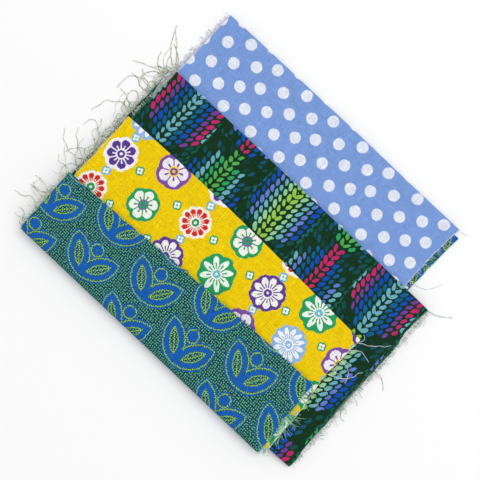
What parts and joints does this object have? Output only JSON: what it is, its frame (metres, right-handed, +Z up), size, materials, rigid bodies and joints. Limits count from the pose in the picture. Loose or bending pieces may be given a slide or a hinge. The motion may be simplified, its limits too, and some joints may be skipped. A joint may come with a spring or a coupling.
{
  "type": "stack of quarter yard cuts",
  "caption": "Folded quarter yard cuts of printed quilting cotton, fanned out and folded over together, with frayed cut ends.",
  "frame": {"origin": "centre of the whole stack's outline, on the surface that it lies on", "axes": "+X along the quarter yard, +Y across the fan from the shared fold to the far edge, +Z up"},
  "size_m": [0.2834, 0.2144, 0.0126],
  "materials": {
    "teal_cotton": "matt woven cotton, teal ground with a small printed leaf pattern",
    "yellow_cotton": "matt woven cotton, yellow ground with printed flowers",
    "green_cotton": "matt woven cotton, dark green ground with printed sprays of small leaves",
    "blue_cotton": "matt woven cotton, blue ground with white polka dots",
    "loose_thread": "loose cotton threads pulled from the cut ends"
  },
  "bodies": {
    "root": {"teal_cut": "teal_cotton", "yellow_cut": "yellow_cotton", "green_cut": "green_cotton", "blue_cut": "blue_cotton", "teal_fray_left": "loose_thread", "yellow_fray_left": "loose_thread", "green_fray_left": "loose_thread", "blue_fray_left": "loose_thread", "teal_fray_right": "loose_thread", "yellow_fray_right": "loose_thread", "green_fray_right": "loose_thread", "blue_fray_right": "loose_thread"}
  },
  "joints": []
}
